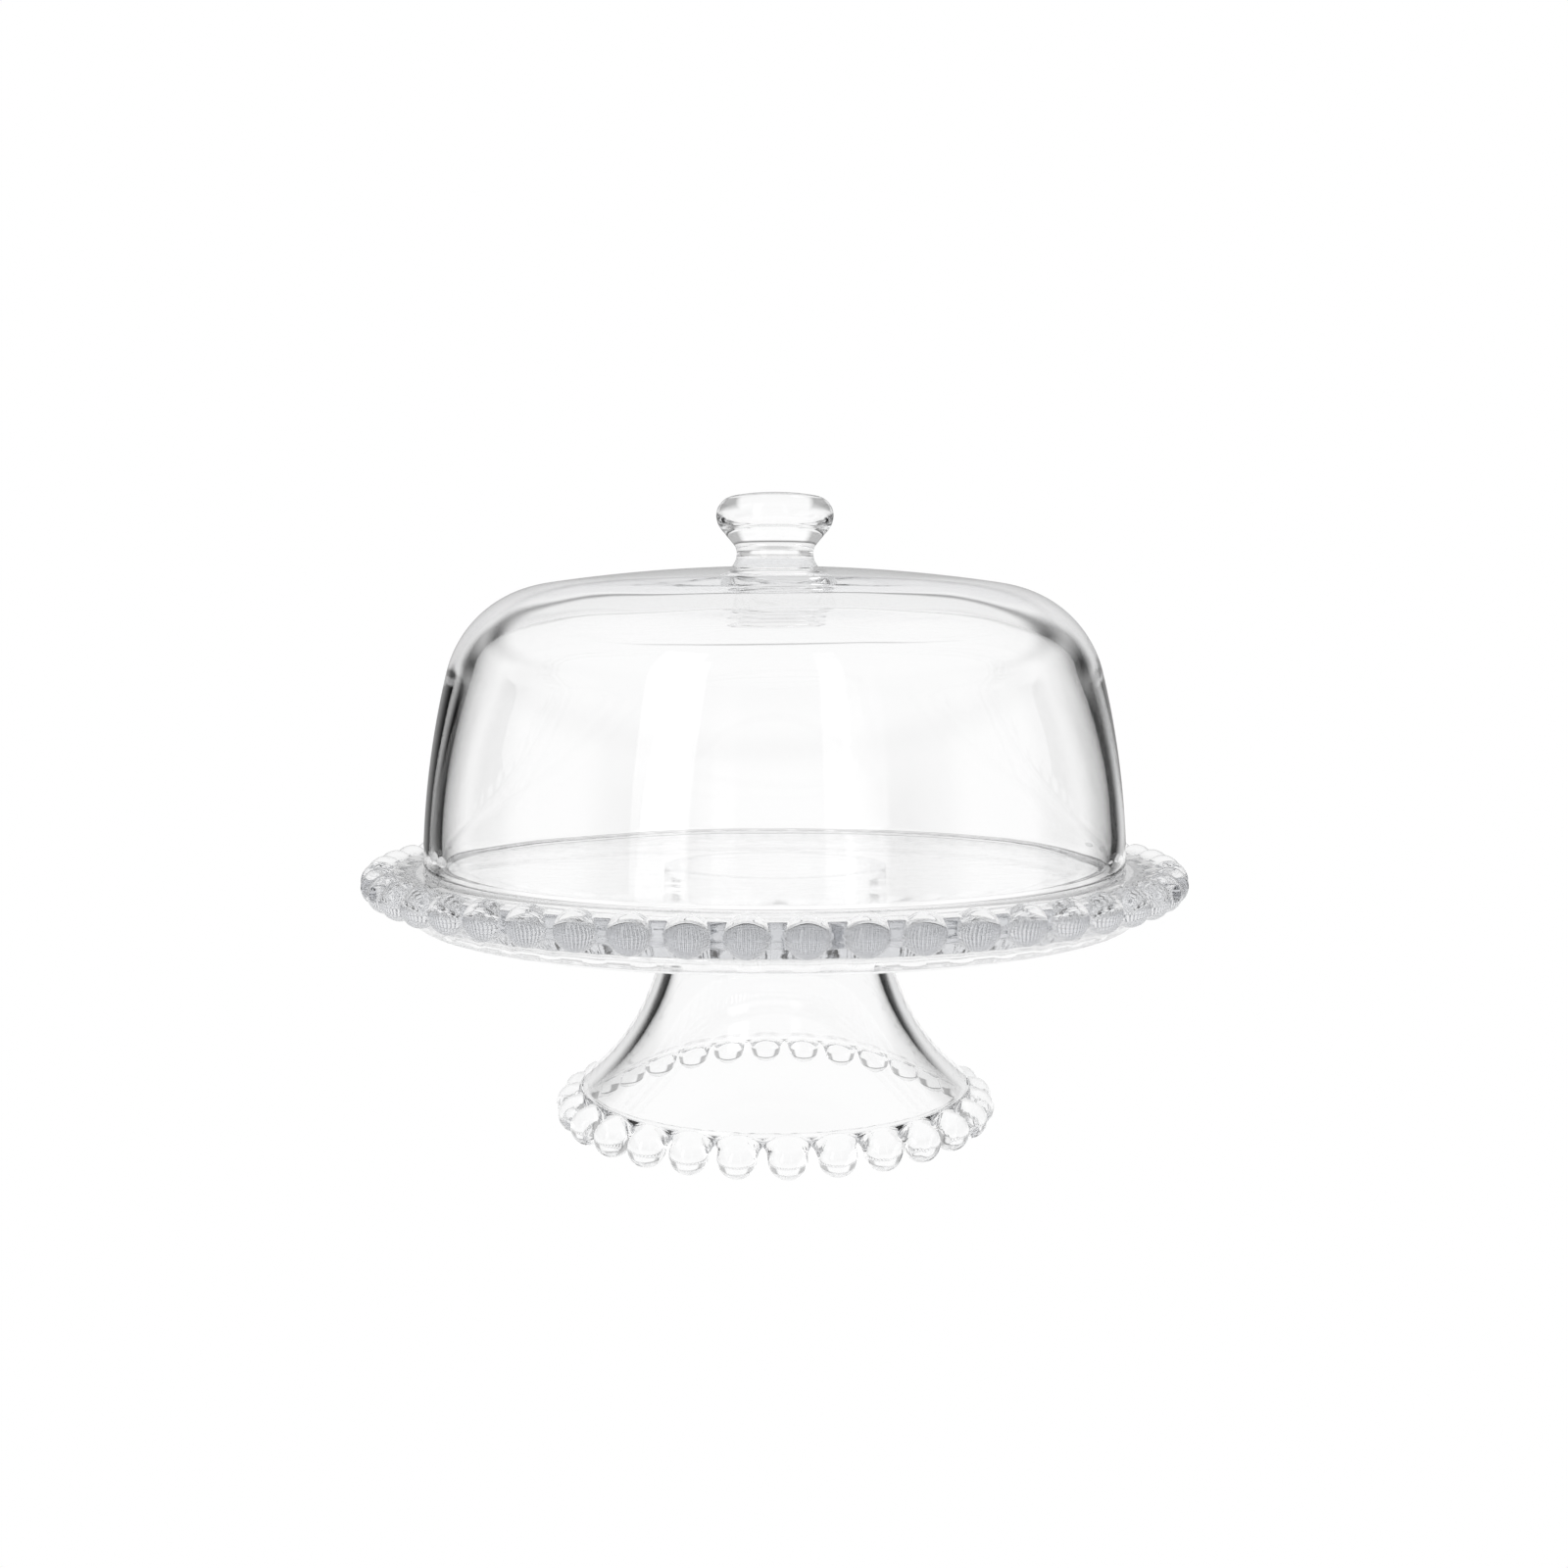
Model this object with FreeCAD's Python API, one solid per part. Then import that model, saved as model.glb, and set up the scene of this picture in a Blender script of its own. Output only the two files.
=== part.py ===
import FreeCAD, Part
import math
import os

# Glass cake stand with a beaded plate, a beaded hollow pedestal and a knobbed dome.
# Millimetres. The origin is on the table under the axis, +Z up, -Y is the front.
# A lean is the angle of a surface's outward normal above level, in degrees:
# 0 is an upright wall, 90 a level top, and a negative lean faces downwards.

# Beads, the same size on the plate and on the pedestal
BEAD_R = 6.5
FOOT_FLAT = 0.2                      # depth ground off under each pedestal bead

# Plate: a disc with a short skirt hanging under it and beads round its edge
PLATE_BEADS = 52
PLATE_BEAD_PHASE = -2.9              # angle of the first bead from the front, towards +X
PLATE_R = 138.5                      # edge of the disc, which is also the beads' circle
PLATE_TOP = 94.2
PLATE_THICK = 8.2
PLATE_EDGE_ROUND = 2.0
PLATE_BEAD_Z = 89.9
SKIRT_TOP_R = 134.0
SKIRT_FOOT_R = 127.3
SKIRT_FOOT_Z = 76.7
SKIRT_WALL = 6.0
SKIRT_ROUND = 1.6

# Pedestal: a hollow trumpet, open below, with beads round its lip
FOOT_BEADS = 28
FOOT_BEAD_PHASE = 3.5
FOOT_BEAD_CIRCLE_R = 72.8
NECK_R = 40.0
NECK_FOOT_Z = 76.0
PEDESTAL_WALL = 5.7
FLARE_R = 78.0                       # radius of the hollow curve from the neck to the lip
LIP_LEAN = 51.5                      # lean where that curve ends at the lip

# Dome: side, shoulder and crown are three arcs that run into each other
SEAT_GAP = 0.3                       # air under the rim, so that the two pieces stay apart
RIM_R = 123.9
RIM_ROUND = 1.8
RIM_LEAN = 1.5
SIDE_R = 303.0
SIDE_LEAN = 14.0
SHOULDER_R = 40.4
SHOULDER_LEAN = 81.0

# The dome's inner face has arcs of its own: the wall is thin at the rim and thickens to the crown
RIM_WALL = 6.4
INNER_SIDE_R = 222.0
INNER_SIDE_LEAN = 18.8
INNER_SHOULDER_R = 30.4
INNER_SHOULDER_LEAN = 83.0

# Knob: a flattened ball on a waisted stem that flares onto the crown
KNOB_R = 20.8
KNOB_WIDEST_Z = 216.8
KNOB_BROW_R = 6.6                    # round between the top and the widest place
KNOB_BROW_LEAN = 80.0
KNOB_BELLY_R = 8.0
KNOB_TAPER_LEAN = -40.0
STEM_R = 13.6
STEM_ROUND = 5.0
STEM_FLARE_R = 7.0
KNOB_SINK = 3.0                      # how far the stem is drawn below the crown before the cut


def point(r, z):
    """A place in the outline's half plane: r out from the axis, z up."""
    return FreeCAD.Vector(r, 0, z)


def on_circle(centre, radius, lean):
    """The point of a circle whose normal has this lean."""
    angle = math.radians(lean)
    return point(centre.x + radius * math.cos(angle), centre.z + radius * math.sin(angle))


def centre_of(start, radius, lean):
    """Centre of the circle that passes through start with this lean there."""
    return on_circle(start, -radius, lean)


def arc(centre, radius, lean_from, lean_to):
    """Edge along a circle in the outline's plane, between two leans."""
    middle = on_circle(centre, radius, (lean_from + lean_to) / 2)
    ends = on_circle(centre, radius, lean_from), on_circle(centre, radius, lean_to)
    return Part.Arc(ends[0], middle, ends[1]).toShape()


def line(start, end):
    return Part.makeLine(start, end)


def close_up(edges):
    """Join edges, given in order round the outline, with straight lines where they don't meet."""
    ends = [(edge.Vertexes[0].Point, edge.Vertexes[-1].Point) for edge in edges]
    joined = []
    for index, edge in enumerate(edges):
        joined.append(edge)
        finish = ends[index][1]
        start = ends[(index + 1) % len(edges)][0]
        if finish.distanceToPoint(start) > 1e-6:
            joined.append(line(finish, start))
    return joined


def spin(edges):
    """Solid of revolution about Z of a closed outline of edges in order."""
    wire = Part.Wire(close_up(edges))
    return Part.Face(wire).revolve(point(0, 0), FreeCAD.Vector(0, 0, 1), 360)


def bead_places(count, circle_r, z, phase):
    """Centres of beads spaced evenly round a circle, from the phase angle on."""
    places = []
    for index in range(count):
        angle = math.radians(phase + 360.0 * index / count)
        places.append(FreeCAD.Vector(circle_r * math.sin(angle), -circle_r * math.cos(angle), z))
    return places


def balls(places):
    return [Part.makeSphere(BEAD_R, place) for place in places]


def plate_beads():
    places = bead_places(PLATE_BEADS, PLATE_R, PLATE_BEAD_Z, PLATE_BEAD_PHASE)
    return Part.makeCompound(balls(places))


def plate_disc(beads):
    """Flat disc with a rounded edge, and a pocket in the edge for each bead."""
    bottom = PLATE_TOP - PLATE_THICK
    core_r = PLATE_R - PLATE_EDGE_ROUND
    low_round = point(core_r, bottom + PLATE_EDGE_ROUND)
    high_round = point(core_r, PLATE_TOP - PLATE_EDGE_ROUND)
    disc = spin([
        line(point(0, PLATE_TOP), point(0, bottom)),
        arc(low_round, PLATE_EDGE_ROUND, -90, 0),
        arc(high_round, PLATE_EDGE_ROUND, 0, 90),
    ])
    return disc.cut(beads)


def plate_skirt(beads):
    """Ring under the disc, its wall sloping inwards down to a rounded lower edge."""
    top = PLATE_TOP - PLATE_THICK
    rise = top - SKIRT_FOOT_Z
    slope = math.degrees(math.atan2(SKIRT_TOP_R - SKIRT_FOOT_R, rise))
    level_wall = SKIRT_WALL / math.cos(math.radians(slope))
    run = SKIRT_ROUND * math.tan(math.radians(slope))
    outer_round = point(SKIRT_FOOT_R - SKIRT_ROUND + run, SKIRT_FOOT_Z + SKIRT_ROUND)
    inner_round = point(SKIRT_FOOT_R - level_wall + SKIRT_ROUND + run, SKIRT_FOOT_Z + SKIRT_ROUND)
    skirt = spin([
        line(point(SKIRT_TOP_R - level_wall, top), point(SKIRT_TOP_R, top)),
        arc(outer_round, SKIRT_ROUND, -slope, -90),
        arc(inner_round, SKIRT_ROUND, -90, -180 - slope),
    ])
    return skirt.cut(beads)


def pedestal_beads():
    """Beads round the lip, each ground flat where it stands on the table."""
    places = bead_places(FOOT_BEADS, FOOT_BEAD_CIRCLE_R, BEAD_R - FOOT_FLAT, FOOT_BEAD_PHASE)
    span = 2 * (FOOT_BEAD_CIRCLE_R + 2 * BEAD_R)
    below = Part.makeBox(span, span, BEAD_R, FreeCAD.Vector(-span / 2, -span / 2, -BEAD_R))
    return Part.makeCompound([ball.cut(below) for ball in balls(places)])


def pedestal_shell(beads):
    """Trumpet wall from the plate down to a round lip, with a pocket for each bead."""
    top = PLATE_TOP - PLATE_THICK
    # a hollow curve bends about a centre outside the wall, so its normals point back at the axis
    flare = point(NECK_R + FLARE_R, NECK_FOOT_Z)
    lip_edge = on_circle(flare, -FLARE_R, LIP_LEAN)
    lip = on_circle(lip_edge, -PEDESTAL_WALL / 2, LIP_LEAN)
    inner_flare_r = FLARE_R + PEDESTAL_WALL
    shell = spin([
        line(point(NECK_R - PEDESTAL_WALL, top), point(NECK_R, top)),
        arc(flare, -FLARE_R, 0, LIP_LEAN),
        arc(lip, PEDESTAL_WALL / 2, LIP_LEAN, LIP_LEAN - 180),
        arc(flare, -inner_flare_r, LIP_LEAN, 0),
    ])
    return shell.cut(beads)


def dome_arcs(start_r, side_r, side_lean, shoulder_r, shoulder_lean):
    """Centre, radius and end leans of a dome's side, shoulder and crown, from the rim up."""
    start = point(start_r, PLATE_TOP + SEAT_GAP + RIM_ROUND)
    side = centre_of(start, side_r, RIM_LEAN)
    shoulder_start = on_circle(side, side_r, side_lean)
    shoulder = centre_of(shoulder_start, shoulder_r, side_lean)
    crown_start = on_circle(shoulder, shoulder_r, shoulder_lean)
    crown_r = crown_start.x / math.cos(math.radians(shoulder_lean))
    crown = centre_of(crown_start, crown_r, shoulder_lean)
    return [
        (side, side_r, RIM_LEAN, side_lean),
        (shoulder, shoulder_r, side_lean, shoulder_lean),
        (crown, crown_r, shoulder_lean, 90),
    ]


def outer_dome():
    return dome_arcs(RIM_R, SIDE_R, SIDE_LEAN, SHOULDER_R, SHOULDER_LEAN)


def inner_dome():
    return dome_arcs(
        RIM_R - RIM_WALL, INNER_SIDE_R, INNER_SIDE_LEAN, INNER_SHOULDER_R, INNER_SHOULDER_LEAN
    )


def dome_shell():
    """Dome, open below, with a rounded rim."""
    outer = [arc(centre, radius, low, high) for centre, radius, low, high in outer_dome()]
    inner = [arc(centre, radius, high, low) for centre, radius, low, high in inner_dome()[::-1]]
    rim_z = PLATE_TOP + SEAT_GAP + RIM_ROUND
    outer_round = point(RIM_R - RIM_ROUND, rim_z)
    inner_round = point(RIM_R - RIM_WALL + RIM_ROUND, rim_z)
    rim = [arc(inner_round, RIM_ROUND, 180, 270), arc(outer_round, RIM_ROUND, -90, 0)]
    return spin(outer + inner + rim)


def dome_knob():
    """Knob turned about the axis and cut to sit on the crown."""
    brow = point(KNOB_R - KNOB_BROW_R, KNOB_WIDEST_Z)
    brow_top = on_circle(brow, KNOB_BROW_R, KNOB_BROW_LEAN)
    top_r = brow_top.x / math.cos(math.radians(KNOB_BROW_LEAN))
    top = point(0, brow_top.z - top_r * math.sin(math.radians(KNOB_BROW_LEAN)))
    belly = point(KNOB_R - KNOB_BELLY_R, KNOB_WIDEST_Z)
    belly_end = on_circle(belly, KNOB_BELLY_R, KNOB_TAPER_LEAN)

    # the taper runs straight from the belly to the hollow curve of the waist
    taper = math.radians(-KNOB_TAPER_LEAN)
    waist_start_r = STEM_R + STEM_ROUND * (1 - math.cos(taper))
    waist_start_z = belly_end.z - (belly_end.x - waist_start_r) / math.tan(taper)
    waist_z = waist_start_z - STEM_ROUND * math.sin(taper)
    waist = point(STEM_R + STEM_ROUND, waist_z)
    flare = point(STEM_R + STEM_FLARE_R, waist_z)
    crown, crown_r = outer_dome()[-1][:2]
    crown_top = crown.z + crown_r

    knob = spin([
        arc(top, top_r, 90, KNOB_BROW_LEAN),
        arc(brow, KNOB_BROW_R, KNOB_BROW_LEAN, 0),
        arc(belly, KNOB_BELLY_R, 0, KNOB_TAPER_LEAN),
        arc(waist, -STEM_ROUND, KNOB_TAPER_LEAN, 0),
        arc(flare, -STEM_FLARE_R, 0, 90),
        line(point(0, crown_top - KNOB_SINK), point(0, top.z + top_r)),
    ])
    crown_ball = Part.makeSphere(crown_r, crown)
    return knob.cut(crown_ball)


def main():
    os.makedirs("parts", exist_ok=True)
    plate_ring = plate_beads()
    foot_ring = pedestal_beads()
    nodes = {
        "plate_disc": plate_disc(plate_ring),
        "plate_skirt": plate_skirt(plate_ring),
        "plate_beads": plate_ring,
        "pedestal_shell": pedestal_shell(foot_ring),
        "pedestal_beads": foot_ring,
        "dome_shell": dome_shell(),
        "dome_knob": dome_knob(),
    }
    for name, shape in nodes.items():
        shape.exportStep(f"parts/{name}.step")
        print(name, len(shape.Solids), "solids", round(shape.Volume), "mm3", shape.isValid())


main()
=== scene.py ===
import math

import bpy
import numpy as np
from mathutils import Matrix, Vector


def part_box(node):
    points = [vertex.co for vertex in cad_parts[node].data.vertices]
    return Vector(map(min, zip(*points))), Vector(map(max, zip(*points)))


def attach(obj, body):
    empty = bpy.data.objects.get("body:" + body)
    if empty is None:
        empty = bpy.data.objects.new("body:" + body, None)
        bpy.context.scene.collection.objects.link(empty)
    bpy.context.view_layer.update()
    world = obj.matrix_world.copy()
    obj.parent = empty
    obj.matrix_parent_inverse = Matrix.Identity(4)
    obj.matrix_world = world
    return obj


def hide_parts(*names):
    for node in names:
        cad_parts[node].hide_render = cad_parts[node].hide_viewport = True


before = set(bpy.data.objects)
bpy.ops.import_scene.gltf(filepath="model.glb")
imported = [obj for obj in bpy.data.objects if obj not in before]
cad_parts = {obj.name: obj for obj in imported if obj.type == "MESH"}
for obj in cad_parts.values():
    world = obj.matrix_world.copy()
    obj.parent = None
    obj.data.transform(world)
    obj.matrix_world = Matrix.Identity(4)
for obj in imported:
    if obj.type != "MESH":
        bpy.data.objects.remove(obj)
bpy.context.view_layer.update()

# Glass cake stand: each real piece of glass is one closed mesh, worked out in polar grids
# about Z. An outline lies in the half plane (r out from the axis, z up), in metres.
# A lean is the angle of a surface's outward normal above level: 0 is upright, 90 a level top.

MM = 0.001


def middle(node, axis):
    """Middle of a CAD node's box along an axis, 0 to 2."""
    low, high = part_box(node)
    return (low[axis] + high[axis]) / 2


# Sizes that the CAD nodes give
BEAD_R = (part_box("plate_beads")[1][2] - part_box("plate_beads")[0][2]) / 2
PLATE_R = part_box("plate_disc")[1][0]
PLATE_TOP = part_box("plate_disc")[1][2]
PLATE_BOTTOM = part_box("plate_disc")[0][2]
PLATE_BEAD_Z = middle("plate_beads", 2)
SKIRT_FOOT_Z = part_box("plate_skirt")[0][2]
SKIRT_TOP_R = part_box("plate_skirt")[1][0]
FOOT_BEAD_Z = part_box("pedestal_beads")[1][2] - BEAD_R
RIM_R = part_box("dome_shell")[1][0]
RIM_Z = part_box("dome_shell")[0][2]
KNOB_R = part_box("dome_knob")[1][0]

# Sizes of the curves between them, the same as in the CAD
PLATE_BEADS = 52
PLATE_BEAD_PHASE = -2.9
PLATE_EDGE_ROUND = 2 * MM
SKIRT_FOOT_R = 127.3 * MM
SKIRT_WALL_LEVEL = 7.4 * MM          # the wall measured level, not square to its slope
SKIRT_ROUND = 1.6 * MM
SKIRT_TOP_ROUND = 1.2 * MM
SKIRT_FILLET = 2.5 * MM

FOOT_BEADS = 28
FOOT_BEAD_PHASE = 3.5
FOOT_BEAD_CIRCLE_R = 72.8 * MM
NECK_R = 40 * MM
NECK_FOOT_Z = 76 * MM
PEDESTAL_WALL = 5.7 * MM
FLARE_R = 78 * MM
LIP_LEAN = 51.5
JOINT_GAP = 0.1 * MM                 # clear joint between the plate and the pedestal

RIM_ROUND = 1.8 * MM
RIM_LEAN = 1.5
SIDE_R = 303 * MM
SIDE_LEAN = 14
SHOULDER_R = 40.4 * MM
SHOULDER_LEAN = 81
RIM_WALL = 6.4 * MM
INNER_SIDE_R = 222 * MM
INNER_SIDE_LEAN = 18.8
INNER_SHOULDER_R = 30.4 * MM
INNER_SHOULDER_LEAN = 83
WALL_WANDER = 0.35 * MM              # how far the hand-finished inner face strays

KNOB_WIDEST_Z = 216.8 * MM
KNOB_BROW_R = 6.6 * MM
KNOB_BROW_LEAN = 80
KNOB_BELLY_R = 8 * MM
KNOB_TAPER_LEAN = -40
STEM_R = 13.6 * MM
STEM_ROUND = 5 * MM
STEM_FLARE_R = 7 * MM
STEM_FLARE_LEAN = 50                 # the flare stops here and runs into the crown
CROWN_FROM_R = 18.5 * MM

# Fillet between a bead and the wall that carries it, the mesh's columns across a bead and across
# the gap to the next one, and the directions of its first and last swollen rows and their number
PLATE_BEAD_BLEND = 1.0 * MM
FOOT_BEAD_BLEND = 3.4 * MM
PLATE_COLUMNS = (14, 6)
FOOT_COLUMNS = (18, 7)
PLATE_FAN = (150, -119, 50)
LIP_FAN = (LIP_LEAN + 72, LIP_LEAN - 252, 60)
LIP_REACH = 16 * MM                  # those rows lie this near the middle of the lip

PLATE_TOP_RINGS = (0, 25, 60, 95, 118, 127)     # radii in mm of the mesh's rings on flat faces
PLATE_UNDER_RINGS = (112, 80, 40, 0)

DOME_COLUMNS = 288
RIM_CALM = 10 * MM                   # the inner face strays less within this height of the rim
CROWN_CALM = 60 * MM                 # and within this radius of the axis

# Glass: the share of red, green and blue that its tint spares, and the height of its ripples
GLASS_TINT = (0.0, 0.03, 0.10, 1)
RIPPLE_HEIGHT = 0.2 * MM

# Studio: directions in degrees, heights in degrees above level, and brightness
SCREEN_HALF = 23                     # a screen is full this far off its middle
GAP_FROM = 38                        # and gone this far off
SCREEN_TOP = (19, 26)                # a screen fades out between these heights
SCREEN_LIGHT = 1.02
TABLE_FADES = (-7, -2)               # the table's white ends between these heights
GAP_TOP = (11, 20)                   # a dark gap turns grey between these heights
GAP_FILL = 0.45
CEILING_FROM = (23, 30)              # the ceiling fades in between these heights
CEILING_LIGHT = 0.92
CEILING_FALLS = (58, 76)             # the ceiling dims between these heights
OVERHEAD_LIGHT = 0.65
REFLECTION_LOSS = 0.6
BOX_EDGES = (1.0, 1.5)               # softness of a box's upright and level edges
SOFT_BOXES = (                       # direction, half width, height, half height, brightness
    (-144.3, 8.3, 14, 30, 1.6),
    (160, 4, 20, 26, 0.6),
)
TABLE_R = 600 * MM
TABLE_LIGHT = 1.0

CAMERA_PLACE = (3.2 * MM, -575.1 * MM, 166.8 * MM)
CAMERA_DOWN = 4.53
LENS = 36.84
SENSOR = 36


# ---------------------------------------------------------------- outlines

def on_circle(centre, radius, lean):
    """The point of a circle whose normal has this lean."""
    angle = np.radians(lean)
    return np.array([centre[0] + radius * np.cos(angle), centre[1] + radius * np.sin(angle)])


def arc(centre, radius, lean_from, lean_to, count):
    """Points along a circle from one lean to another, both ends included."""
    return [on_circle(centre, radius, lean) for lean in np.linspace(lean_from, lean_to, count)]


def between(start, end, count):
    """Points on a straight line, without its ends."""
    steps = np.linspace(0, 1, count + 2)[1:-1]
    return [np.array(start) + step * (np.array(end) - np.array(start)) for step in steps]


def chain(*stretches):
    """One list of points from several, without a point that repeats the one before it."""
    points = []
    for point in (np.asarray(p, float) for stretch in stretches for p in stretch):
        if not points or np.linalg.norm(point - points[-1]) > 0.01 * MM:
            points.append(point)
    return points


def rounded(corners, turn_step=9):
    """Outline through corners (r, z, rounding radius), with an arc at each rounded one."""
    points = []
    for index, (r, z, radius) in enumerate(corners):
        here = np.array([r, z])
        if radius == 0:
            points.append(here)
            continue
        into = here - np.array(corners[index - 1][:2])
        out = np.array(corners[(index + 1) % len(corners)][:2]) - here
        into /= np.linalg.norm(into)
        out /= np.linalg.norm(out)
        turn = math.atan2(into[0] * out[1] - into[1] * out[0], into @ out)
        reach = radius * math.tan(abs(turn) / 2)
        side = math.copysign(1, turn)
        normal = side * np.array([-into[1], into[0]])
        centre = here - into * reach + normal * radius
        for step in np.linspace(0, turn, max(3, round(math.degrees(abs(turn)) / turn_step))):
            spoke = -normal * radius
            cos, sin = math.cos(step), math.sin(step)
            points.append(centre + [cos * spoke[0] - sin * spoke[1], sin * spoke[0] + cos * spoke[1]])
    return points


def dense(points, step=0.1 * MM):
    """The same outline with points at most a step apart."""
    filled = [points[0]]
    for start, end in zip(points[:-1], points[1:]):
        count = int(np.linalg.norm(end - start) / step)
        filled += between(start, end, count) + [end]
    return np.array(filled)


def fan(outline, pole, first, last, count):
    """Points of an outline evenly spaced by their direction from a pole, first to last degrees."""
    spokes = dense(outline) - pole
    turn = np.degrees(np.unwrap(np.arctan2(spokes[:, 1], spokes[:, 0])))
    turn += 360 * round((first - turn[np.argmin(abs((turn - first + 180) % 360 - 180))]) / 360)
    order = np.argsort(turn)
    wanted = np.linspace(first, last, count)
    reach = np.interp(wanted, turn[order], np.linalg.norm(spokes, axis=1)[order])
    angle = np.radians(wanted)
    return [pole + length * np.array([math.cos(a), math.sin(a)]) for a, length in zip(angle, reach)]


# ---------------------------------------------------------------- meshes

def even_columns(count):
    """Angles of evenly spaced columns."""
    return np.arange(count) * 2 * math.pi / count


def bead_columns(beads, phase, circle_r, across, gap):
    """Angles of the grid's columns, and each one's offset from its nearest bead.

    Columns are close together at the sides of a bead, where its surface turns fastest."""
    pitch = 2 * math.pi / beads
    half = math.asin(BEAD_R / circle_r)
    sweep = np.linspace(-math.pi / 2, math.pi / 2, across)
    on_bead = np.arcsin(BEAD_R / circle_r * np.sin(sweep))
    spread = 0.5 - 0.5 * np.cos(np.linspace(0, math.pi, gap + 2)[1:-1])
    off_bead = half + (pitch - 2 * half) * spread
    off_bead = np.where(off_bead > pitch / 2, off_bead - pitch, off_bead)
    offsets = np.concatenate([on_bead, off_bead])
    places = np.where(np.arange(len(offsets)) < across, offsets, offsets % pitch)
    starts = math.radians(phase) + np.arange(beads) * pitch
    return (starts[:, None] + places[None, :]).ravel(), np.tile(offsets, beads)


def with_beads(rows, swelling, pole, offsets, circle_r, bead_z, blend):
    """Rows of an outline as (row, column, 2), swollen over the beads.

    A swelling row's point moves away from the pole until it lies on the bead's own section
    in that column, with a fillet where the bead leaves the wall."""
    grid = np.repeat(np.array(rows)[:, None, :], len(offsets), axis=1)
    section_r = circle_r * np.cos(offsets)
    section_size = BEAD_R ** 2 - (circle_r * np.sin(offsets)) ** 2
    for index in swelling:
        spoke = rows[index] - pole
        base = np.linalg.norm(spoke)
        spoke = spoke / base
        to_bead = np.stack([section_r - pole[0], np.full_like(section_r, bead_z - pole[1])], axis=1)
        along = to_bead @ spoke
        off_line = section_size - (np.sum(to_bead ** 2, axis=1) - along ** 2)
        reach = along + np.sign(off_line) * np.sqrt(np.abs(off_line))
        mix = np.clip(0.5 + 0.5 * (reach - base) / blend, 0, 1)
        length = base + (reach - base) * mix + blend * mix * (1 - mix)
        grid[index] = pole + length[:, None] * spoke
    return grid


def slopes(points, wrap):
    """Direction of a grid's rows at each point, true to second order where steps are uneven."""
    pad = [(1, 1)] + [(0, 0)] * (points.ndim - 1)
    wide = np.pad(points, pad, mode="wrap" if wrap else "edge")
    before, after = points - wide[:-2], wide[2:] - points
    step_before = np.maximum(np.linalg.norm(before, axis=-1, keepdims=True), 1e-9)
    step_after = np.maximum(np.linalg.norm(after, axis=-1, keepdims=True), 1e-9)
    across = before * step_after / step_before + after * step_before / step_after
    return across / (step_before + step_after)


def spun_mesh(name, grid, angles, closed):
    """Mesh from a grid of (row, column) points (r, z) and the columns' angles.

    A closed outline joins its last row to its first. Otherwise its ends are on the axis."""
    turn = angles[None, :]
    if not closed:
        ends = grid[0, 0, 1], grid[-1, 0, 1]
        grid = grid[1:-1]
    r, z = grid[..., 0], grid[..., 1]
    rows, columns = r.shape
    points = np.stack([r * np.sin(turn), -r * np.cos(turn), z], axis=-1)
    down_slope = slopes(points, closed)
    round_slope = np.swapaxes(slopes(np.swapaxes(points, 0, 1), True), 0, 1)
    normals = np.cross(down_slope, round_slope)
    normals /= np.maximum(np.linalg.norm(normals, axis=-1, keepdims=True), 1e-12)

    down = np.arange(rows if closed else rows - 1)[:, None]
    along = np.arange(columns)[None, :]
    below, beside = (down + 1) % rows, (along + 1) % columns
    corners = (down * columns + along, below * columns + along,
               below * columns + beside, down * columns + beside)
    faces = np.stack(corners, axis=-1).reshape(-1, 4).tolist()
    points, normals = points.reshape(-1, 3).tolist(), normals.reshape(-1, 3).tolist()
    if not closed:
        top, bottom = len(points), len(points) + 1
        points += [[0, 0, ends[0]], [0, 0, ends[1]]]
        normals += [[0, 0, 1], [0, 0, -1]]
        last = (rows - 1) * columns
        for column in range(columns):
            after = (column + 1) % columns
            faces.append([top, column, after])
            faces.append([bottom, last + after, last + column])
    mesh = bpy.data.meshes.new(name)
    mesh.from_pydata(points, [], faces)
    mesh.shade_smooth()
    mesh.normals_split_custom_set_from_vertices(normals)
    piece = bpy.data.objects.new(name, mesh)
    bpy.context.scene.collection.objects.link(piece)
    return piece


def wander(angles, heights, seed):
    """Slow, uneven swell from -1 to 1 over angle and height, the same on every run."""
    draw = np.random.default_rng(seed)
    total = np.zeros((len(heights), len(angles)))
    for waves_round in (2, 3, 5, 8, 13):
        waves_up = draw.uniform(8, 60)
        phase_round, phase_up = draw.uniform(0, 2 * math.pi, 2)
        total += (np.cos(waves_round * angles[None, :] + phase_round)
                  * np.cos(waves_up * heights[:, None] + phase_up)) / waves_round ** 0.5
    return total / np.abs(total).max()


# ---------------------------------------------------------------- dome and knob

def dome_arcs(start_r, side_r, side_lean, shoulder_r, shoulder_lean):
    """Centre and radius of a dome's side, shoulder and crown, from the rim up."""
    start = np.array([start_r, RIM_Z + RIM_ROUND])
    side = on_circle(start, -side_r, RIM_LEAN)
    shoulder = on_circle(on_circle(side, side_r, side_lean), -shoulder_r, side_lean)
    crown_start = on_circle(shoulder, shoulder_r, shoulder_lean)
    crown_r = crown_start[0] / math.cos(math.radians(shoulder_lean))
    crown = on_circle(crown_start, -crown_r, shoulder_lean)
    return (side, side_r), (shoulder, shoulder_r), (crown, crown_r)


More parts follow.
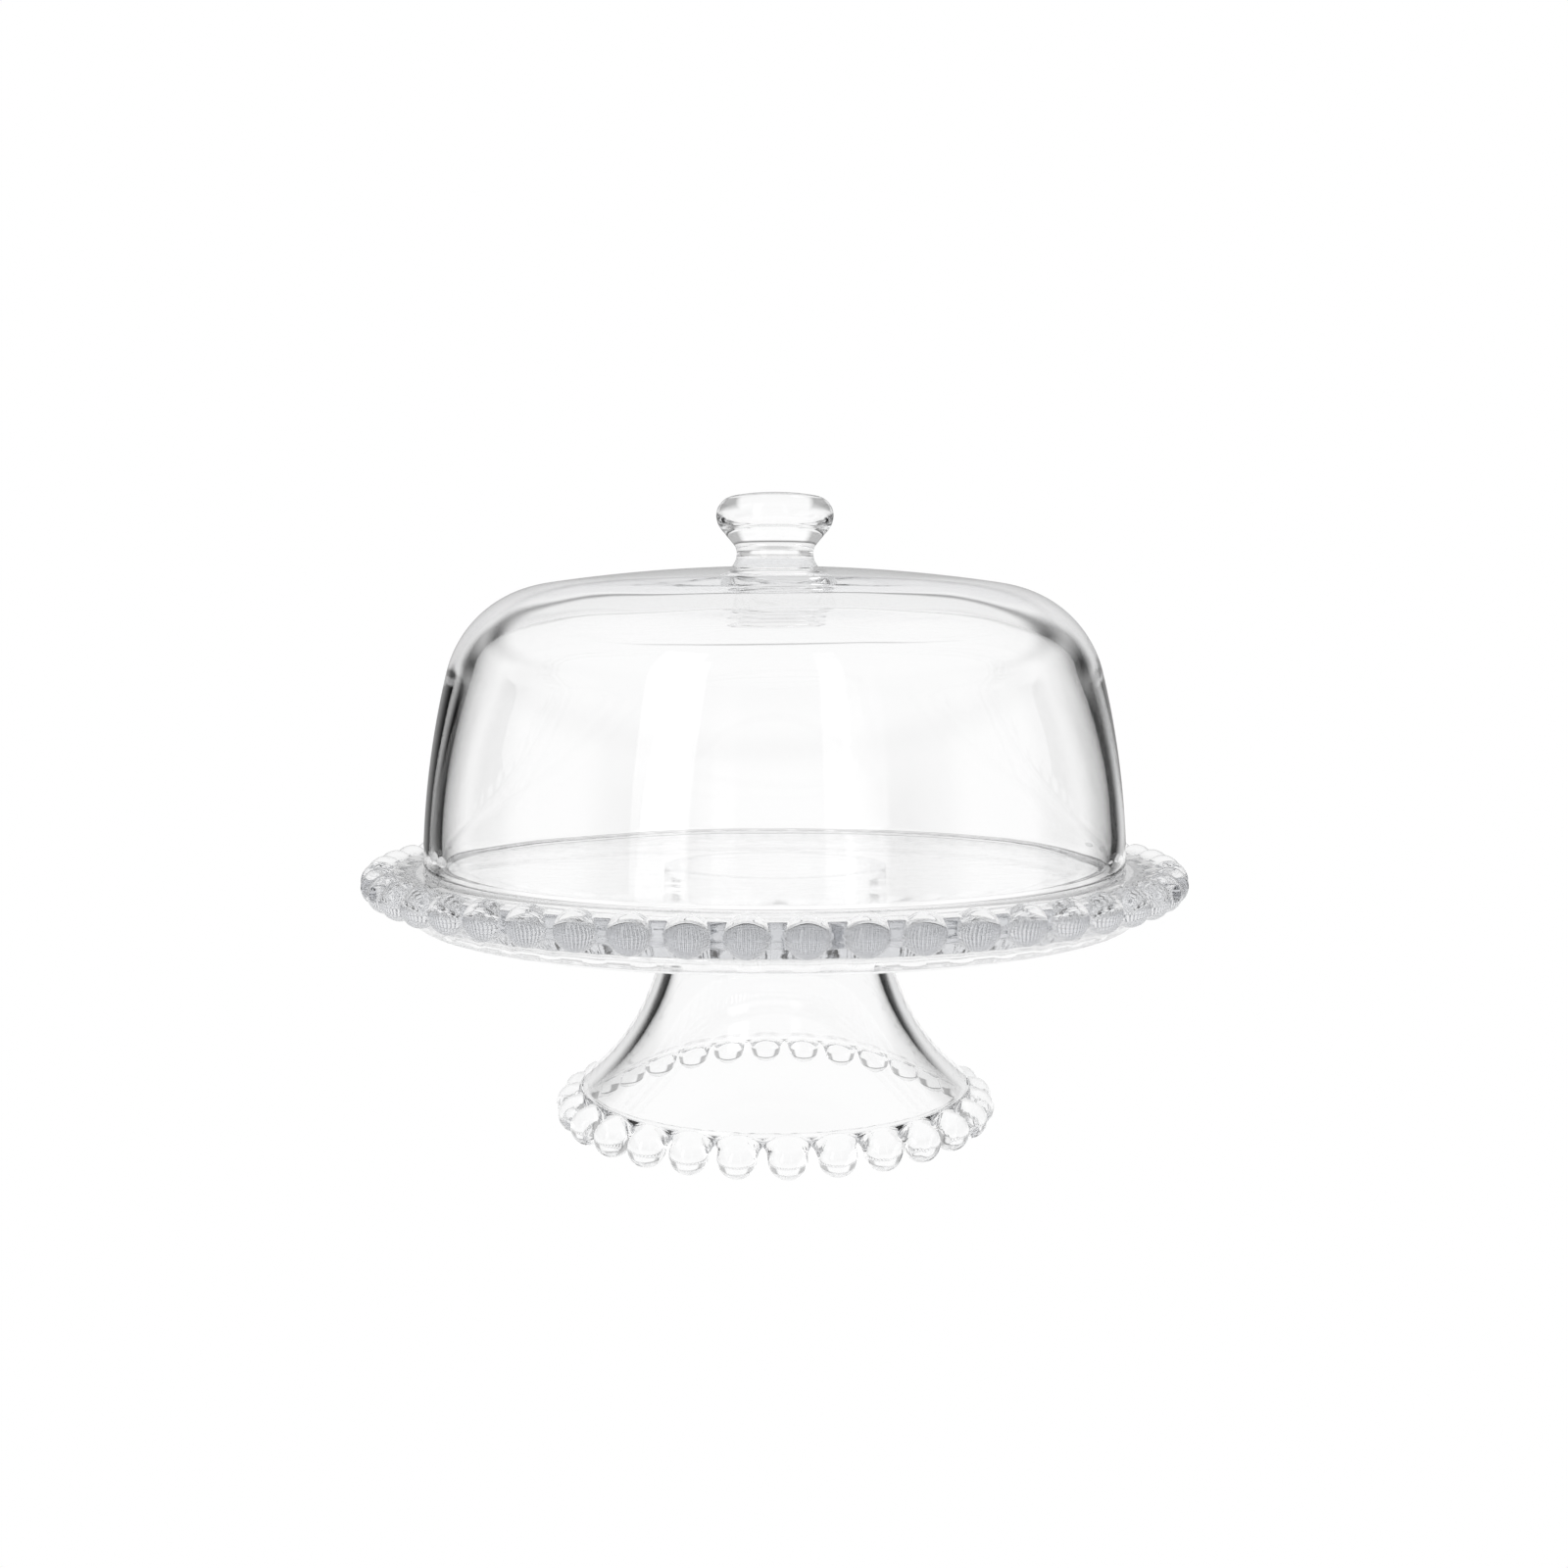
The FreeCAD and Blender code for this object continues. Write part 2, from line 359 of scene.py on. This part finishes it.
def knob_outline():
    """From the middle of the knob's top down to the foot of its stem."""
    brow = np.array([KNOB_R - KNOB_BROW_R, KNOB_WIDEST_Z])
    brow_top = on_circle(brow, KNOB_BROW_R, KNOB_BROW_LEAN)
    top_r = brow_top[0] / math.cos(math.radians(KNOB_BROW_LEAN))
    top = np.array([0, brow_top[1] - top_r * math.sin(math.radians(KNOB_BROW_LEAN))])
    belly = np.array([KNOB_R - KNOB_BELLY_R, KNOB_WIDEST_Z])
    belly_end = on_circle(belly, KNOB_BELLY_R, KNOB_TAPER_LEAN)
    taper = math.radians(-KNOB_TAPER_LEAN)
    waist_start_r = STEM_R + STEM_ROUND * (1 - math.cos(taper))
    waist_start_z = belly_end[1] - (belly_end[0] - waist_start_r) / math.tan(taper)
    waist_z = waist_start_z - STEM_ROUND * math.sin(taper)
    waist = np.array([STEM_R + STEM_ROUND, waist_z])
    flare = np.array([STEM_R + STEM_FLARE_R, waist_z])
    return chain(
        arc(top, top_r, 90, KNOB_BROW_LEAN, 12),
        arc(brow, KNOB_BROW_R, KNOB_BROW_LEAN, 0, 14),
        arc(belly, KNOB_BELLY_R, 0, KNOB_TAPER_LEAN, 9),
        between(belly_end, (waist_start_r, waist_start_z), 5),
        arc(waist, -STEM_ROUND, KNOB_TAPER_LEAN, 0, 7),
        arc(flare, -STEM_FLARE_R, 0, STEM_FLARE_LEAN, 12),
    )


def dome_glass():
    """Dome and knob, one piece of glass, with a slightly uneven inner face."""
    side, shoulder, crown = dome_arcs(RIM_R, SIDE_R, SIDE_LEAN, SHOULDER_R, SHOULDER_LEAN)
    outer = chain(
        arc(*crown, math.degrees(math.acos(CROWN_FROM_R / crown[1])), SHOULDER_LEAN, 16),
        arc(*shoulder, SHOULDER_LEAN, SIDE_LEAN, 26),
        arc(*side, SIDE_LEAN, RIM_LEAN, 24),
    )
    outer_round = (RIM_R - RIM_ROUND, RIM_Z + RIM_ROUND)
    inner_round = (RIM_R - RIM_WALL + RIM_ROUND, RIM_Z + RIM_ROUND)
    rim = arc(outer_round, RIM_ROUND, 0, -90, 8) + arc(inner_round, RIM_ROUND, -90, -180, 8)
    side, shoulder, crown = dome_arcs(
        RIM_R - RIM_WALL, INNER_SIDE_R, INNER_SIDE_LEAN, INNER_SHOULDER_R, INNER_SHOULDER_LEAN
    )
    inner = chain(
        arc(*side, RIM_LEAN, INNER_SIDE_LEAN, 24),
        arc(*shoulder, INNER_SIDE_LEAN, INNER_SHOULDER_LEAN, 24),
        arc(*crown, INNER_SHOULDER_LEAN, 90, 18),
    )[1:]
    rows = np.array(chain(knob_outline(), outer, rim, inner))

    angles = even_columns(DOME_COLUMNS)
    grid = np.repeat(rows[:, None, :], len(angles), axis=1)
    first_inner = len(rows) - len(inner)
    reach, height = rows[first_inner:].T
    spread = np.minimum((height - RIM_Z) / RIM_CALM, 1) * np.minimum(reach / CROWN_CALM, 1)
    stray = wander(angles, height, seed=7) * spread[:, None] * WALL_WANDER
    slope = np.gradient(rows[first_inner:], axis=0)
    normal = np.stack([slope[:, 1], -slope[:, 0]], axis=1)
    normal /= np.linalg.norm(normal, axis=1, keepdims=True)
    grid[first_inner:] += stray[..., None] * normal[:, None, :]
    return spun_mesh("dome_glass", grid, angles, closed=False)


# ---------------------------------------------------------------- plate and pedestal

def plate_glass():
    """Plate with its skirt and beads, one piece of glass."""
    skirt_in = SKIRT_FOOT_R - SKIRT_WALL_LEVEL
    outline = rounded([
        (0, PLATE_TOP, 0),
        (PLATE_R, PLATE_TOP, PLATE_EDGE_ROUND),
        (PLATE_R, PLATE_BOTTOM, PLATE_EDGE_ROUND),
        (SKIRT_TOP_R, PLATE_BOTTOM, SKIRT_TOP_ROUND),
        (SKIRT_FOOT_R, SKIRT_FOOT_Z, SKIRT_ROUND),
        (skirt_in, SKIRT_FOOT_Z, SKIRT_ROUND),
        (SKIRT_TOP_R - SKIRT_WALL_LEVEL, PLATE_BOTTOM, SKIRT_FILLET),
        (0, PLATE_BOTTOM, 0),
    ])

    # rows round the edge, where the beads swell, are spread by direction from a pole inside it
    pole = np.array([PLATE_R - PLATE_EDGE_ROUND, PLATE_BEAD_Z])
    edge = fan(outline[:-1], pole, *PLATE_FAN)
    top = [np.array([r, PLATE_TOP]) for r in np.array(PLATE_TOP_RINGS) * MM]

    # then the outline from the skirt's outer wall to the inner end of its fillet
    skirt_from = PLATE_BOTTOM - SKIRT_TOP_ROUND
    below_edge = [p for p in outline if p[1] < skirt_from or p[0] < SKIRT_TOP_R - 5 * MM]
    below_edge = [p for p in below_edge if p[1] < PLATE_TOP - 1 * MM][:-1]
    wall = between(below_edge[0], below_edge[1], 1)
    underside = [np.array([r, PLATE_BOTTOM]) for r in np.array(PLATE_UNDER_RINGS) * MM]
    rows = top + edge + below_edge[:1] + wall + below_edge[1:] + underside

    angles, offsets = bead_columns(PLATE_BEADS, PLATE_BEAD_PHASE, PLATE_R, *PLATE_COLUMNS)
    swelling = range(len(top), len(top) + len(edge))
    grid = with_beads(rows, swelling, pole, offsets, PLATE_R, PLATE_BEAD_Z, PLATE_BEAD_BLEND)
    return spun_mesh("plate_glass", grid, angles, closed=False)


def pedestal_glass():
    """Pedestal with its beads, one piece of glass, hollow and open below."""
    top_z = PLATE_BOTTOM - JOINT_GAP
    flare = np.array([NECK_R + FLARE_R, NECK_FOOT_Z])
    lip_edge = on_circle(flare, -FLARE_R, LIP_LEAN)
    lip = on_circle(lip_edge, -PEDESTAL_WALL / 2, LIP_LEAN)
    neck_in = NECK_R - PEDESTAL_WALL
    edge_round = 0.5 * MM
    shoulder_z = top_z - edge_round
    outer = chain(
        arc((NECK_R - edge_round, shoulder_z), edge_round, 90, 0, 6),
        between((NECK_R, shoulder_z), (NECK_R, NECK_FOOT_Z), 3),
        arc(flare, -FLARE_R, 0, LIP_LEAN, 30),
    )
    inner = chain(
        arc(flare, -FLARE_R - PEDESTAL_WALL, LIP_LEAN, 0, 30),
        between((neck_in, NECK_FOOT_Z), (neck_in, shoulder_z), 3),
        arc((neck_in + edge_round, shoulder_z), edge_round, 180, 90, 6),
    )
    lip_round = arc(lip, PEDESTAL_WALL / 2, LIP_LEAN, LIP_LEAN - 180, 24)

    # rows round the lip, where the beads swell, are spread by direction from its middle
    near_lip = [p for p in chain(outer, lip_round, inner) if np.linalg.norm(p - lip) < LIP_REACH]
    edge = fan(near_lip, lip, *LIP_FAN)
    clear_of_edge = np.linalg.norm(edge[0] - lip) + 1 * MM
    above = [p for p in outer if np.linalg.norm(p - lip) > clear_of_edge]
    inside = [p for p in inner if np.linalg.norm(p - lip) > clear_of_edge]
    rows = chain(above, edge, inside, between(inner[-1], outer[0], 1))

    angles, offsets = bead_columns(FOOT_BEADS, FOOT_BEAD_PHASE, FOOT_BEAD_CIRCLE_R, *FOOT_COLUMNS)
    swelling = range(len(above), len(above) + len(edge))
    grid = with_beads(rows, swelling, lip, offsets, FOOT_BEAD_CIRCLE_R, FOOT_BEAD_Z, FOOT_BEAD_BLEND)
    grid[..., 1] = np.maximum(grid[..., 1], 0)
    return spun_mesh("pedestal_glass", grid, angles, closed=True)


# ---------------------------------------------------------------- materials

def clear_glass(title, wave, ripple, depth):
    """Clear glass: faint ripples of this length and strength, greyer over this depth of glass."""
    material = bpy.data.materials.new(title)
    material.use_nodes = True
    nodes, links = material.node_tree.nodes, material.node_tree.links
    glass = nodes["Principled BSDF"]
    glass.inputs["Base Color"].default_value = (1.0, 1.0, 1.0, 1)
    glass.inputs["Transmission Weight"].default_value = 1
    glass.inputs["IOR"].default_value = 1.5

    place = nodes.new("ShaderNodeTexCoord")
    noise = nodes.new("ShaderNodeTexNoise")
    noise.inputs["Scale"].default_value = 1 / wave
    noise.inputs["Detail"].default_value = 2
    links.new(place.outputs["Object"], noise.inputs["Vector"])
    bump = nodes.new("ShaderNodeBump")
    bump.inputs["Strength"].default_value = ripple
    bump.inputs["Distance"].default_value = RIPPLE_HEIGHT
    links.new(noise.outputs["Fac"], bump.inputs["Height"])
    links.new(bump.outputs["Normal"], glass.inputs["Normal"])

    haze = nodes.new("ShaderNodeMapRange")
    for name, number in (("From Min", 0.45), ("From Max", 0.75), ("To Min", 0.0), ("To Max", 0.03)):
        haze.inputs[name].default_value = number
    links.new(noise.outputs["Fac"], haze.inputs["Value"])
    links.new(haze.outputs["Result"], glass.inputs["Roughness"])

    tint = nodes.new("ShaderNodeVolumeAbsorption")
    tint.inputs["Color"].default_value = GLASS_TINT
    tint.inputs["Density"].default_value = 1 / depth
    links.new(tint.outputs["Volume"], nodes["Material Output"].inputs["Volume"])
    return material


# ---------------------------------------------------------------- studio

class Maths:
    """Short hand for maths nodes in one node tree."""

    def __init__(self, tree):
        self.nodes, self.links = tree.nodes, tree.links

    def put(self, value, socket):
        """Set a socket to a number, or link an output to it."""
        if isinstance(value, (int, float)):
            socket.default_value = value
        else:
            self.links.new(value, socket)

    def do(self, operation, *values):
        """Output of a maths node on numbers or outputs."""
        node = self.nodes.new("ShaderNodeMath")
        node.operation = operation
        for value, socket in zip(values, node.inputs):
            self.put(value, socket)
        return node.outputs[0]

    def ramp(self, value, start, end, low=0.0, high=1.0):
        """Smooth step from low at start to high at end."""
        node = self.nodes.new("ShaderNodeMapRange")
        node.interpolation_type = "SMOOTHSTEP"
        for name, number in (("From Min", start), ("From Max", end), ("To Min", low), ("To Max", high)):
            node.inputs[name].default_value = number
        self.put(value, node.inputs["Value"])
        return node.outputs["Result"]


def window(maths, value, centre, half, edge):
    """1 within half of the centre, falling to 0 over an edge."""
    away = maths.do("ABSOLUTE", maths.do("SUBTRACT", value, centre))
    return maths.ramp(away, half, half + edge, 1.0, 0.0)


def studio_world():
    """White surround for the camera; for the glass, white screens with dark gaps between them."""
    world = bpy.data.worlds.new("studio")
    bpy.context.scene.world = world
    world.use_nodes = True
    tree = world.node_tree
    tree.nodes.clear()
    maths = Maths(tree)
    place = tree.nodes.new("ShaderNodeTexCoord")
    split = tree.nodes.new("ShaderNodeSeparateXYZ")
    tree.links.new(place.outputs["Generated"], split.inputs["Vector"])
    x, y, z = split.outputs
    azimuth = maths.do("DEGREES", maths.do("ARCTAN2", x, y))
    height = maths.do("DEGREES", maths.do("ARCSINE", z))

    # four white screens, one each way, with gaps between them, under a soft white ceiling
    off_axis = maths.do("ABSOLUTE", maths.do("WRAP", azimuth, 45, -45))
    screens = maths.ramp(off_axis, SCREEN_HALF, GAP_FROM, SCREEN_LIGHT, 0.0)

    # the gaps turn grey above; light that only passed through the glass finds them grey all the
    # way down, and white where the table runs on
    rays = tree.nodes.new("ShaderNodeLightPath")
    straight = maths.do("LESS_THAN", rays.outputs["Glossy Depth"], 0.5)
    table = maths.ramp(height, *TABLE_FADES, SCREEN_LIGHT, GAP_FILL)
    above = maths.ramp(height, *GAP_TOP, 0.0, GAP_FILL)
    fill = maths.do("MAXIMUM", maths.do("MULTIPLY", straight, table), above)
    screens = maths.do("MAXIMUM", screens, fill)

    ceiling = maths.ramp(height, *CEILING_FALLS, CEILING_LIGHT, OVERHEAD_LIGHT)
    screens = maths.do("MULTIPLY", screens, maths.ramp(height, *SCREEN_TOP, 1.0, 0.0))
    light = maths.do("ADD", screens, maths.do("MULTIPLY", ceiling, maths.ramp(height, *CEILING_FROM)))

    # reflections find all this dimmer, and two soft boxes: wide front left, narrow front right
    loss = maths.do("MULTIPLY", rays.outputs["Is Reflection Ray"], REFLECTION_LOSS)
    light = maths.do("MULTIPLY", light, maths.do("SUBTRACT", 1.0, loss))
    for toward, half_width, box_height, half_height, brightness in SOFT_BOXES:
        width_part = window(maths, azimuth, toward, half_width, BOX_EDGES[0])
        height_part = window(maths, height, box_height, half_height, BOX_EDGES[1])
        box = maths.do("MULTIPLY", width_part, height_part)
        light = maths.do("ADD", light, maths.do("MULTIPLY", box, brightness))

    unseen = tree.nodes.new("ShaderNodeBackground")
    tree.links.new(light, unseen.inputs["Strength"])
    seen = tree.nodes.new("ShaderNodeBackground")
    for background in (unseen, seen):
        background.inputs["Color"].default_value = (1, 1, 1, 1)
    mix = tree.nodes.new("ShaderNodeMixShader")
    tree.links.new(rays.outputs["Is Camera Ray"], mix.inputs["Fac"])
    tree.links.new(unseen.outputs[0], mix.inputs[1])
    tree.links.new(seen.outputs[0], mix.inputs[2])
    output = tree.nodes.new("ShaderNodeOutputWorld")
    tree.links.new(mix.outputs[0], output.inputs["Surface"])


def studio_floor():
    """Round white table top, evenly bright."""
    mesh = bpy.data.meshes.new("floor")
    ring = [(TABLE_R * math.cos(a), TABLE_R * math.sin(a), 0) for a in even_columns(96)]
    mesh.from_pydata(ring, [], [list(range(len(ring)))])
    floor = bpy.data.objects.new("floor", mesh)
    bpy.context.scene.collection.objects.link(floor)
    floor.location.z = -0.05 * MM

    material = bpy.data.materials.new("white_table")
    material.use_nodes = True
    tree = material.node_tree
    tree.nodes.clear()
    glow = tree.nodes.new("ShaderNodeEmission")
    glow.inputs["Strength"].default_value = TABLE_LIGHT
    output = tree.nodes.new("ShaderNodeOutputMaterial")
    tree.links.new(glow.outputs[0], output.inputs["Surface"])
    floor.data.materials.append(material)


def camera():
    """In front, a little lower than the crown, looking slightly down."""
    data = bpy.data.cameras.new("camera")
    data.lens = LENS
    data.sensor_width = SENSOR
    piece = bpy.data.objects.new("camera", data)
    piece.location = CAMERA_PLACE
    piece.rotation_euler = (math.radians(90 - CAMERA_DOWN), 0, 0)
    bpy.context.scene.collection.objects.link(piece)
    bpy.context.scene.camera = piece


def light_paths():
    """Plain colours, and enough bounces for light to get through every wall of glass."""
    scene = bpy.context.scene
    scene.view_settings.view_transform = "Standard"
    scene.cycles.max_bounces = 40
    scene.cycles.transmission_bounces = 40
    scene.cycles.glossy_bounces = 24
    scene.cycles.use_denoising = True


dome = dome_glass()
plate = plate_glass()
pedestal = pedestal_glass()
dome.data.materials.append(clear_glass("dome_clear_glass", wave=25 * MM, ripple=0.1, depth=2.0))
pressed = clear_glass("pressed_clear_glass", wave=12 * MM, ripple=0.1, depth=0.65)
for piece in (plate, pedestal):
    piece.data.materials.append(pressed)

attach(dome, "dome")
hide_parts("dome_shell", "dome_knob")
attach(plate, "stand")
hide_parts("plate_disc", "plate_skirt", "plate_beads")
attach(pedestal, "stand")
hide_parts("pedestal_shell", "pedestal_beads")

studio_world()
studio_floor()
camera()
light_paths()
